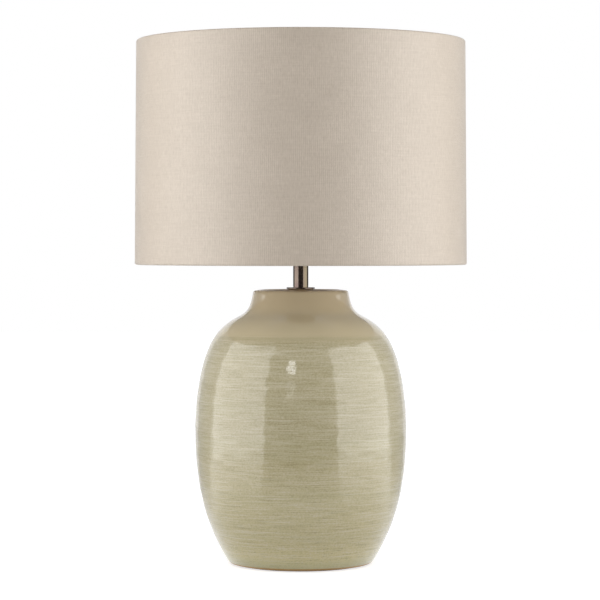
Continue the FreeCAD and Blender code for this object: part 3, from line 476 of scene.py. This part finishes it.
GLAZE_MID = paint(177, 167, 135)
GLAZE_LIGHT = paint(194, 186, 159)
GLAZE_HAIR = paint(206, 199, 176)
GLAZE_DARK = paint(152, 144, 107)
GLAZE_GREEN = paint(162, 160, 122)
GLAZE_LOW = paint(184, 172, 128)
# A lighter band round the foot: painted light against the shade that falls low on the jar near the floor.
GLAZE_FOOT_PAINTED_LIGHT = paint(199, 187, 137)
# Shoulder and neck tones: glaze colour with a painted warm reflection of the shade's underside in it.
GLAZE_SHOULDER_WITH_REFLECTION = paint(198, 184, 151)
GLAZE_NECK_WITH_REFLECTION = paint(195, 177, 144)
CLAY_EDGE = paint(172, 136, 102)
CLAY_BARE = paint(176, 130, 50)
LOW_FADE = (0.150, 0.030)           # heights in metres over which one tone gives way to the next
FOOT_PAINTED_LIGHT_FADE = (0.028, 0.012)
FOOT_LINE = (0.016, 0.005)
FOOT_BARE = (0.0042, 0.0030)
SHOULDER_FADE = (0.2490, 0.2385)
SHOULDER_LINE = 0.2440
NECK_FADE = (0.252, 0.276)
RIM_FADE = (0.2878, 0.2896)
RIM_BARE = (0.2892, 0.2900)
glaze, tree, shader = new_finish("celadon_glaze", Roughness=0.34, Specular_IOR_Level=0.25, Coat_Weight=1.0,
                                 Coat_Roughness=0.035, Coat_IOR=1.5)
lines = grain(tree, (34, 34, 1350), 2, 0.6)
strokes = grain(tree, (9, 9, 300), 3, 0.6, move=(3, 1, 0))
hairs = grain(tree, (18, 18, 1500), 1, move=(5, 2, 0))
bands = grain(tree, (1.2, 1.2, 34), 2, 0.5, move=(0, 5, 2))
mottle = grain(tree, (560, 560, 760), 2, 0.6)
height = coordinate(tree, 2)
waver = grain(tree, (9, 9, 9), 2)
shoulder_height = calc(tree, "MULTIPLY_ADD", waver, 0.006, height)
body = spread(tree, shoulder_height, *SHOULDER_FADE)
tone = calc(tree, "MULTIPLY_ADD", mottle, 0.95, calc(tree, "MULTIPLY", strokes, 0.35))
tone = calc(tree, "MULTIPLY_ADD", lines, 1.15, tone)
colour = blend(tree, spread(tree, height, *LOW_FADE), GLAZE_MID, GLAZE_LOW)
# Painted light: the band just above the foot is lightened to cancel the shade near the floor.
colour = blend(tree, spread(tree, height, *FOOT_PAINTED_LIGHT_FADE), colour, GLAZE_FOOT_PAINTED_LIGHT)
colour = blend(tree, spread(tree, tone, 1.22, 1.60), colour, GLAZE_LIGHT)
colour = blend(tree, spread(tree, tone, 1.22, 0.88), colour, GLAZE_DARK)
colour = blend(tree, spread(tree, bands, 0.5, 0.75, 0.0, 0.20), colour, GLAZE_GREEN)
colour = blend(tree, spread(tree, hairs, 0.60, 0.68, 0, 0.5), colour, GLAZE_HAIR)
# From the shoulder up, glaze tones that partly hold a painted reflection of the shade's underside.
neck = blend(tree, spread(tree, height, *NECK_FADE), GLAZE_SHOULDER_WITH_REFLECTION, GLAZE_NECK_WITH_REFLECTION)
colour = blend(tree, body, neck, colour)
from_line = calc(tree, "ABSOLUTE", calc(tree, "SUBTRACT", shoulder_height, SHOULDER_LINE))
shoulder_line = calc(tree, "MULTIPLY", spread(tree, from_line, 0.0022, 0.0008), 0.28)
colour = blend(tree, shoulder_line, colour, GLAZE_DARK)
colour = blend(tree, spread(tree, height, *FOOT_LINE, 0.0, 0.55), colour, GLAZE_GREEN)
colour = blend(tree, spread(tree, height, *RIM_FADE, 0.0, 0.6), colour, CLAY_EDGE)
bare = spread(tree, height, *FOOT_BARE)
colour = blend(tree, bare, colour, CLAY_BARE)
tree.links.new(colour, shader.inputs["Base Color"])
bare = calc(tree, "MAXIMUM", bare, spread(tree, height, *RIM_BARE))
tree.links.new(calc(tree, "SUBTRACT", 1.0, bare), shader.inputs["Coat Weight"])
ridges = calc(tree, "MULTIPLY", calc(tree, "MULTIPLY_ADD", lines, 0.5, strokes), body)
raise_surface(tree, shader, ridges, 0.10)
ripples = grain(tree, (60, 60, 110), 1, move=(2, 7, 0))
pull = calc(tree, "MULTIPLY_ADD", calc(tree, "MULTIPLY", ripples, body), 2.4, ridges)
raise_surface(tree, shader, pull, 0.06, "Coat Normal")

jar = mesh_piece("glazed_jar", *jar_shape(), glaze)
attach(jar, "base")
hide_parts("jar_body")


# Flex bush: a moulded bush in a brown-grey plastic, pushed into the drilled hole, with a thin flange that
# follows the round wall.
def dress(material, *names):
    """Gives pieces of the frame this material in place of their plain one."""
    for name in names:
        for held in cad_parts[name].material_slots:
            held.material = material


bush_plastic, tree, shader = new_finish("bush_plastic", Specular_IOR_Level=0.45)
mould = grain(tree, (900, 900, 900), 3, 0.6)
haze = grain(tree, (120, 120, 120), 2)
tree.links.new(blend(tree, haze, paint(150, 134, 112), paint(132, 116, 95)), shader.inputs["Base Color"])
tree.links.new(spread(tree, mould, 0.3, 0.7, 0.38, 0.55), shader.inputs["Roughness"])
raise_surface(tree, shader, mould, 0.02)
dress(bush_plastic, "flex_bush")


# Threaded tube, nut and washers: a hollow zinc-plated M10 tube with a 1 mm pitch holds the jar, the stem and
# the lampholder together, against a steel washer, a toothed one and a rubber one. A pale rubber washer
# guards the neck.
zinc, tree, shader = new_finish("zinc_steel", Metallic=1.0)
cloud = grain(tree, (160, 160, 160), 3, 0.6)
scratch = grain(tree, (1800, 1800, 260), 2, 0.6)
tree.links.new(blend(tree, spread(tree, cloud, 0.35, 0.65), (0.66, 0.67, 0.69), (0.50, 0.52, 0.55)),
               shader.inputs["Base Color"])
tree.links.new(spread(tree, scratch, 0.3, 0.7, 0.28, 0.48), shader.inputs["Roughness"])
raise_surface(tree, shader, scratch, 0.01)
dress(zinc, "base_washer", "lock_washer", "base_nut", "holder_grub_screw")

threaded_zinc, tree, shader = new_finish("threaded_zinc", Metallic=1.0)
THREAD_PITCH = 1.0 * MM
thread = calc(tree, "SINE", calc(tree, "MULTIPLY", coordinate(tree, 2), 2 * math.pi / THREAD_PITCH))
cloud = grain(tree, (160, 160, 160), 3, 0.6)
tree.links.new(blend(tree, spread(tree, thread, -1, 1), (0.34, 0.35, 0.36), (0.68, 0.69, 0.70)),
               shader.inputs["Base Color"])
tree.links.new(spread(tree, cloud, 0.3, 0.7, 0.30, 0.42), shader.inputs["Roughness"])
raise_surface(tree, shader, thread, 0.3)
dress(threaded_zinc, "threaded_rod")

rubber, tree, shader = new_finish("soft_rubber", Specular_IOR_Level=0.3)
bloom = grain(tree, (260, 260, 260), 3, 0.65)
tree.links.new(blend(tree, spread(tree, bloom, 0.4, 0.7, 0, 0.5), paint(38, 36, 34), paint(84, 80, 75)),
               shader.inputs["Base Color"])
tree.links.new(spread(tree, bloom, 0.3, 0.7, 0.62, 0.82), shader.inputs["Roughness"])
raise_surface(tree, shader, grain(tree, (1500, 1500, 1500), 2), 0.03)
dress(rubber, "floor_cushion")

pale_rubber, tree, shader = new_finish("pale_rubber", Specular_IOR_Level=0.3)
bloom = grain(tree, (260, 260, 260), 3, 0.65)
tree.links.new(blend(tree, bloom, paint(176, 160, 130), paint(158, 142, 112)), shader.inputs["Base Color"])
tree.links.new(spread(tree, bloom, 0.3, 0.7, 0.55, 0.75), shader.inputs["Roughness"])
raise_surface(tree, shader, grain(tree, (1500, 1500, 1500), 2), 0.03)
dress(pale_rubber, "neck_cushion")


# Check plate, stem and cap: brass tube and spun brass, darkened to an antique finish and brushed along the
# stem, then lacquered. The dark tone is rubbed thinner here and there. Down the +X side of the stem the
# colour turns to
# a lighter, yellower brass: a painted golden reflection on that side.
BRASS_PATINA = (0.125, 0.088, 0.078)
THIN_PATINA = (0.165, 0.132, 0.10)
BRUSHED_BRASS = (0.24, 0.20, 0.135)
# Lighter, yellower brass for the stem's +X side, a painted golden reflection.
GOLDEN_REFLECTION_BRASS = (0.145, 0.12, 0.07)


def antique_brass(name, stretch):
    """Brown-black patina over brass. Its fine brush marks are noise stretched along one way."""
    finish, tree, shader = new_finish(name, Metallic=1.0, Anisotropic=0.35, Coat_Weight=0.25,
                                      Coat_Roughness=0.12)
    brush = grain(tree, stretch, 3, 0.6)
    patina = grain(tree, (70, 70, 45), 4, 0.62)
    colour = blend(tree, spread(tree, patina, 0.35, 0.7), BRASS_PATINA, THIN_PATINA)
    colour = blend(tree, spread(tree, brush, 0.5, 0.8, 0, 0.5), colour, BRUSHED_BRASS)
    tree.links.new(colour, shader.inputs["Base Color"])
    tree.links.new(spread(tree, brush, 0.3, 0.7, 0.13, 0.22), shader.inputs["Roughness"])
    raise_surface(tree, shader, brush, 0.005)
    return finish


stem_brass = antique_brass("antique_brass_stem", (2600, 2600, 22))
tree = stem_brass.node_tree
shader = tree.nodes["Principled BSDF"]
patina = shader.inputs["Base Color"].links[0].from_socket
# Painted reflection: from x = 1 to 5 mm, the stem's patina gives way to golden brass down its +X side.
painted_glint_side = spread(tree, coordinate(tree, 0), 0.001, 0.005, 0, 0.75)
tree.links.new(blend(tree, painted_glint_side, patina, GOLDEN_REFLECTION_BRASS), shader.inputs["Base Color"])
dress(stem_brass, "stem_tube")
dress(antique_brass("antique_brass_turned", (420, 420, 2200)), "check_plate", "holder_cap")


# Inside the lampholder: a white ceramic insert with brass terminals, their screws, the rolled brass screw
# shell and the sprung centre contact. The black sleeve screws on outside, and its thread carries the two
# rings of the shade.
porcelain, tree, shader = new_finish("white_porcelain", Specular_IOR_Level=0.5)
speck = grain(tree, (700, 700, 700), 2)
cream = grain(tree, (60, 60, 60), 2)
colour = blend(tree, cream, paint(240, 236, 226), paint(228, 222, 208))
tree.links.new(blend(tree, spread(tree, speck, 0.7, 0.78, 0, 0.6), colour, paint(180, 168, 148)),
               shader.inputs["Base Color"])
tree.links.new(spread(tree, speck, 0.3, 0.7, 0.30, 0.44), shader.inputs["Roughness"])
raise_surface(tree, shader, speck, 0.015)
dress(porcelain, "holder_insert")

brass, tree, shader = new_finish("bright_brass", Metallic=1.0)
drawn = grain(tree, (240, 240, 2600), 3)
tarnish = grain(tree, (110, 110, 110), 3, 0.6)
tree.links.new(blend(tree, spread(tree, tarnish, 0.4, 0.7, 0, 0.6), (0.83, 0.60, 0.27), (0.62, 0.41, 0.17)),
               shader.inputs["Base Color"])
tree.links.new(spread(tree, drawn, 0.3, 0.7, 0.16, 0.30), shader.inputs["Roughness"])
raise_surface(tree, shader, drawn, 0.006)
dress(brass, "terminal_blocks", "terminal_screws", "screw_shell", "centre_contact")

phenolic, tree, shader = new_finish("black_phenolic", Specular_IOR_Level=0.5)
flow = grain(tree, (85, 85, 170), 3, 0.6)
pores = grain(tree, (1400, 1400, 1400), 2)
tree.links.new(blend(tree, spread(tree, flow, 0.35, 0.65), paint(33, 32, 31), paint(50, 47, 44)),
               shader.inputs["Base Color"])
tree.links.new(spread(tree, flow, 0.3, 0.7, 0.24, 0.38), shader.inputs["Roughness"])
raise_surface(tree, shader, pores, 0.012)
dress(phenolic, "holder_sleeve", "seat_ring", "clamp_ring")


# Frame of the shade: a pressed steel ring with three bent wire spokes and two wire hoops, welded and then
# powder-coated white, with the slight orange peel of that coat.
powder_coat, tree, shader = new_finish("white_steel", Specular_IOR_Level=0.5, Coat_Weight=0.2,
                                       Coat_Roughness=0.25)
peel = grain(tree, (850, 850, 850), 2, 0.5)
dull = grain(tree, (45, 45, 45), 3, 0.6)
tree.links.new(blend(tree, spread(tree, dull, 0.35, 0.7), paint(240, 238, 232), paint(226, 222, 212)),
               shader.inputs["Base Color"])
tree.links.new(spread(tree, peel, 0.3, 0.7, 0.34, 0.48), shader.inputs["Roughness"])
raise_surface(tree, shader, peel, 0.03)
dress(powder_coat, "fitter_plate", "fitter_spokes", "shade_bottom_hoop", "shade_top_hoop")


# Liner of the shade: a stiff white plastic sheet that the linen is stuck to. The slubs of the linen show
# through it faintly, as painted shadows in its colour.
liner, tree, shader = new_finish("white_liner", Specular_IOR_Level=0.4)
upright_slubs = grain(tree, (380, 380, 8), 3, 0.6)
level_slubs = grain(tree, (9, 9, 420), 3, 0.6)
# Painted shadow of the linen's slubs: the liner's colour follows them between a darker and a lighter white.
shadow = calc(tree, "MULTIPLY", upright_slubs, level_slubs)
tree.links.new(blend(tree, spread(tree, shadow, 0.15, 0.36), paint(236, 230, 219), paint(246, 243, 236)),
               shader.inputs["Base Color"])
tree.links.new(spread(tree, upright_slubs, 0.3, 0.7, 0.42, 0.55), shader.inputs["Roughness"])
raise_surface(tree, shader, shadow, 0.05)
dress(liner, "shade_liner")


# Linen of the shade: one panel of natural linen stretched round the liner, rolled in round both hoops and
# glued inside, with its free end lapped over the other at the back.
SHADE_LOW = 316.5
SHADE_HIGH = 552.3
LOW_RADIUS = 175.0
HIGH_RADIUS = 173.2
LINEN = 0.5
LINER_STACK = 1.3           # linen, glue, liner and glue between the linen's outside and its hem
ROLL_RADIUS = 2.05
HEM_DEPTH = 11.0
HEM_LEAD = 3.0
LAP = 12.0                  # overlap at the back
LAP_LIFT = 0.6
LAP_SIDES = (0.06, 0.11)    # closer columns after and before the lap, in radians
CLOTH_WAVER = 0.06
SPOKE_ANGLES = (-90, 30, 150)
SLIT_HALF_WIDTH = 2.3       # slits in the lower hem where the spokes reach the hoop
SLIT_HEIGHTS = (1.5, 8.5)


def drum_radius(z):
    """The drum's outside radius, which falls evenly from the bottom to the top."""
    return LOW_RADIUS + (HIGH_RADIUS - LOW_RADIUS) * (z - SHADE_LOW) / (SHADE_HIGH - SHADE_LOW)


def rolled_end(edge, inward):
    """Middle line of the cloth from its hem inside, round the hoop and to the outside of the drum. The roll
    is an arc about the hoop's wire. The hem leaves it along the tangent to the lead, and then follows the
    liner."""
    middle = ROLL_RADIUS - LINEN / 2
    centre_z = edge + inward * ROLL_RADIUS
    centre = np.array((drum_radius(centre_z) - ROLL_RADIUS, centre_z))
    lead_z = edge + inward * (2 * ROLL_RADIUS + HEM_LEAD)
    lead = np.array((drum_radius(lead_z) - LINER_STACK - LINEN / 2, lead_z))
    end_z = edge + inward * HEM_DEPTH
    end = np.array((drum_radius(end_z) - LINER_STACK - LINEN / 2, end_z))
    across, along = lead[0] - centre[0], inward * (lead[1] - centre[1])
    leaving = math.atan2(along, across) + math.acos(middle / math.hypot(across, along)) - 2 * math.pi
    angle = np.linspace(leaving, 0, 15)
    roll = np.column_stack([centre[0] + middle * np.cos(angle), centre[1] + inward * middle * np.sin(angle)])
    hem = end + (lead - end) * np.linspace(0, 1, 4)[:, None]
    return np.vstack([hem, roll[0] + (lead - roll[0]) * np.array([0.5, 0.25])[:, None], roll])


def linen_panel(columns=372):
    """A grid: one way runs round the drum, past a full turn by the lap, and the other runs along the cloth's
    middle line from hem to hem. The last 20 mm of the turn rise by the lap's lift along the line's normal,
    and the whole panel wavers by less than a tenth of a millimetre. Faces of the hem at the spokes are left
    out. Each point's place on the flat cloth is kept."""
    low, high = rolled_end(SHADE_LOW, 1), rolled_end(SHADE_HIGH, -1)[::-1]
    side_z = np.linspace(low[-1, 1], high[0, 1], 62)[1:-1]
    side = np.column_stack([drum_radius(side_z) - LINEN / 2, side_z])
    line = np.vstack([low, side, high])
    way = outward(line)
    along = np.concatenate([[0], np.cumsum(np.linalg.norm(np.diff(line, axis=0), axis=1))])
    half = LAP / 2 / LOW_RADIUS
    full = 2 * np.pi
    near, far = LAP_SIDES[0], full - LAP_SIDES[1]
    turn = np.concatenate([np.linspace(-half, near, 14)[:-1], np.linspace(near, far, columns),
                           np.linspace(far, full + half, 26)[1:]])
    lap_start = full - half - 8 / LOW_RADIUS
    rise = ramp(turn, lap_start, lap_start + 7 / LOW_RADIUS)
    lift = LAP_LIFT * rise * rise * (3 - 2 * rise)
    line_z = line[None, :, 1]
    waver = CLOTH_WAVER * np.sin(9 * turn[:, None] + line_z / 30) * np.sin(5 * turn[:, None] + 1.7)
    waver *= ramp(line_z, SHADE_LOW + 8, SHADE_LOW + 38) * ramp(line_z, SHADE_HIGH - 8, SHADE_HIGH - 38)
    out = lift[:, None] + waver
    radius = line[None, :, 0] + way[None, :, 0] * out
    z = line_z + way[None, :, 1] * out
    bearing = turn[:, None] + np.pi / 2
    points = np.stack([radius * np.cos(bearing), radius * np.sin(bearing), z], 2)
    cloth = np.stack(np.broadcast_arrays(turn[:, None] * LOW_RADIUS * MM, along[None, :] * MM), 2)
    rows = len(line)
    column, row = np.meshgrid(np.arange(len(turn) - 1), np.arange(rows - 1), indexing="ij")
    faces = np.stack([column * rows + row, (column + 1) * rows + row, (column + 1) * rows + row + 1,
                      column * rows + row + 1], 2)
    middle = (points[:-1, :-1] + points[1:, 1:]) / 2
    slit = np.zeros(faces.shape[:2], bool)
    slit_low, slit_high = (SHADE_LOW + height for height in SLIT_HEIGHTS)
    for angle in np.radians(SPOKE_ANGLES):
        along_spoke = middle[:, :, :2] @ np.array((np.cos(angle), np.sin(angle)))
        across_spoke = middle[:, :, :2] @ np.array((-np.sin(angle), np.cos(angle)))
        slit |= (np.abs(across_spoke) < SLIT_HALF_WIDTH) & (along_spoke > 0)
    slit &= (middle[:, :, 2] > slit_low) & (middle[:, :, 2] < slit_high)
    slit &= np.arange(rows - 1)[None, :] < len(low) - 4
    return points.reshape(-1, 3) * MM, faces[~slit], cloth.reshape(-1, 2)


LINEN_MID = paint(194, 177, 158)
LINEN_DARK = paint(161, 147, 129)
LINEN_LIGHT = paint(211, 200, 185)
RIB = 2.0 * MM
THREAD = 0.55 * MM
linen, tree, shader = new_finish("natural_linen", Roughness=0.54, IOR=1.64, Specular_IOR_Level=1.0,
                                 Sheen_Weight=0.6, Sheen_Roughness=0.3)


def cloth_grain(tree, cells, detail=2.0, roughness=0.5):
    """Soft noise from 0 to 1 on the flat cloth, with so many cells per metre round and up the drum."""
    place = add(tree, "UVMap", uv_map="cloth").outputs[0]
    place = add(tree, "Mapping", {"Vector": place, "Scale": (*cells, 1)}).outputs[0]
    return noise(tree, place, detail, roughness)


def ribs(tree, distance, pitch):
    """Even ribs across a distance in metres: the sine of 2 pi times the distance over the pitch."""
    return calc(tree, "SINE", calc(tree, "MULTIPLY", distance, 2 * math.pi / pitch))


up_slubs = cloth_grain(tree, (700, 90), 3, 0.6)
up_threads = cloth_grain(tree, (1150, 240), 2, 0.5)
level_slubs = cloth_grain(tree, (20, 520), 3, 0.6)
level_threads = cloth_grain(tree, (60, 1200), 2, 0.5)
dye = cloth_grain(tree, (30, 26), 3)
on_cloth = add(tree, "UVMap", uv_map="cloth").outputs[0]
round_drum, up_drum = add(tree, "SeparateXYZ", {0: on_cloth}).outputs[:2]
drift = cloth_grain(tree, (14, 22), 2)
rib = ribs(tree, calc(tree, "MULTIPLY_ADD", drift, 1.5 * RIB, round_drum), RIB)
weave = calc(tree, "MULTIPLY", ribs(tree, round_drum, THREAD), ribs(tree, up_drum, THREAD))
threads = calc(tree, "ADD", calc(tree, "MULTIPLY_ADD", level_slubs, 0.5, up_slubs),
               calc(tree, "MULTIPLY_ADD", level_threads, 0.6, up_threads))
threads = calc(tree, "MULTIPLY_ADD", rib, 0.21, threads)
colour = blend(tree, spread(tree, threads, 1.10, 2.00), LINEN_DARK, LINEN_LIGHT)
colour = blend(tree, 0.5, colour, LINEN_MID)
colour = blend(tree, spread(tree, dye, 0.35, 0.7, 0, 0.12), colour, LINEN_DARK)
tree.links.new(colour, shader.inputs["Base Color"])
relief = calc(tree, "MULTIPLY_ADD", weave, 0.22, threads)
raise_surface(tree, shader, relief, 0.10)

points, faces, cloth = linen_panel()
shade = mesh_piece("linen_panel", points, faces, linen)
layer = shade.data.uv_layers.new(name="cloth")
corners = np.zeros(len(shade.data.loops), np.int32)
shade.data.loops.foreach_get("vertex_index", corners)
layer.data.foreach_set("uv", cloth[corners].ravel())
thick = shade.modifiers.new("cloth", "SOLIDIFY")
thick.thickness = LINEN * MM
thick.offset = 0.0
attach(shade, "shade")
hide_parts("shade_linen", "shade_seam")


# Bulb: a nickel-plated E27 cap with its contact and black glass, a white plastic collar over the driver and
# its board, and an opal plastic candle.
nickel, tree, shader = new_finish("nickel_plate", Metallic=1.0)
cloud = grain(tree, (130, 130, 130), 3, 0.6)
rolled = grain(tree, (300, 300, 2400), 2)
tree.links.new(blend(tree, spread(tree, cloud, 0.35, 0.7), (0.72, 0.70, 0.66), (0.56, 0.53, 0.49)),
               shader.inputs["Base Color"])
tree.links.new(spread(tree, rolled, 0.3, 0.7, 0.16, 0.30), shader.inputs["Roughness"])
raise_surface(tree, shader, rolled, 0.006)
dress(nickel, "bulb_cap", "bulb_contact")

black_glass, tree, shader = new_finish("black_glass", Coat_Weight=0.6, Coat_Roughness=0.08)
swirl = grain(tree, (240, 240, 240), 3, 0.6)
tree.links.new(blend(tree, swirl, paint(18, 18, 20), paint(40, 38, 40)), shader.inputs["Base Color"])
tree.links.new(spread(tree, swirl, 0.3, 0.7, 0.12, 0.26), shader.inputs["Roughness"])
dress(black_glass, "bulb_insulator")

collar_plastic, tree, shader = new_finish("white_plastic", Specular_IOR_Level=0.5)
mould = grain(tree, (1000, 1000, 1000), 2)
age = grain(tree, (50, 50, 50), 2)
tree.links.new(blend(tree, age, paint(241, 240, 236), paint(231, 229, 222)), shader.inputs["Base Color"])
tree.links.new(spread(tree, mould, 0.3, 0.7, 0.30, 0.42), shader.inputs["Roughness"])
raise_surface(tree, shader, mould, 0.012)
dress(collar_plastic, "bulb_collar")

resin, tree, shader = new_finish("driver_resin", Specular_IOR_Level=0.5)
traces = add(tree, "TexVoronoi", {"Vector": object_place(tree, (420, 420, 420)), "Scale": 1.0}, feature="F1")
tree.links.new(blend(tree, spread(tree, traces.outputs["Distance"], 0.2, 0.7), paint(60, 112, 74),
                     paint(38, 82, 52)), shader.inputs["Base Color"])
tree.links.new(spread(tree, traces.outputs["Distance"], 0.1, 0.8, 0.3, 0.5), shader.inputs["Roughness"])
raise_surface(tree, shader, traces.outputs["Distance"], 0.08)
dress(resin, "led_driver")

board, tree, shader = new_finish("board_aluminium", Metallic=0.9)
brushed = grain(tree, (2200, 90, 90), 3)
tree.links.new(blend(tree, brushed, (0.80, 0.80, 0.78), (0.66, 0.66, 0.65)), shader.inputs["Base Color"])
tree.links.new(spread(tree, brushed, 0.3, 0.7, 0.26, 0.42), shader.inputs["Roughness"])
raise_surface(tree, shader, brushed, 0.008)
dress(board, "led_board")

opal, tree, shader = new_finish("opal_plastic", Specular_IOR_Level=0.45, Subsurface_Weight=0.15,
                                Subsurface_Scale=0.004)
frost = grain(tree, (1300, 1300, 1300), 2)
milk = grain(tree, (35, 35, 35), 2)
tree.links.new(blend(tree, milk, paint(246, 244, 238), paint(236, 232, 223)), shader.inputs["Base Color"])
tree.links.new(spread(tree, frost, 0.3, 0.7, 0.36, 0.50), shader.inputs["Roughness"])
raise_surface(tree, shader, frost, 0.008)
dress(opal, "bulb_globe")
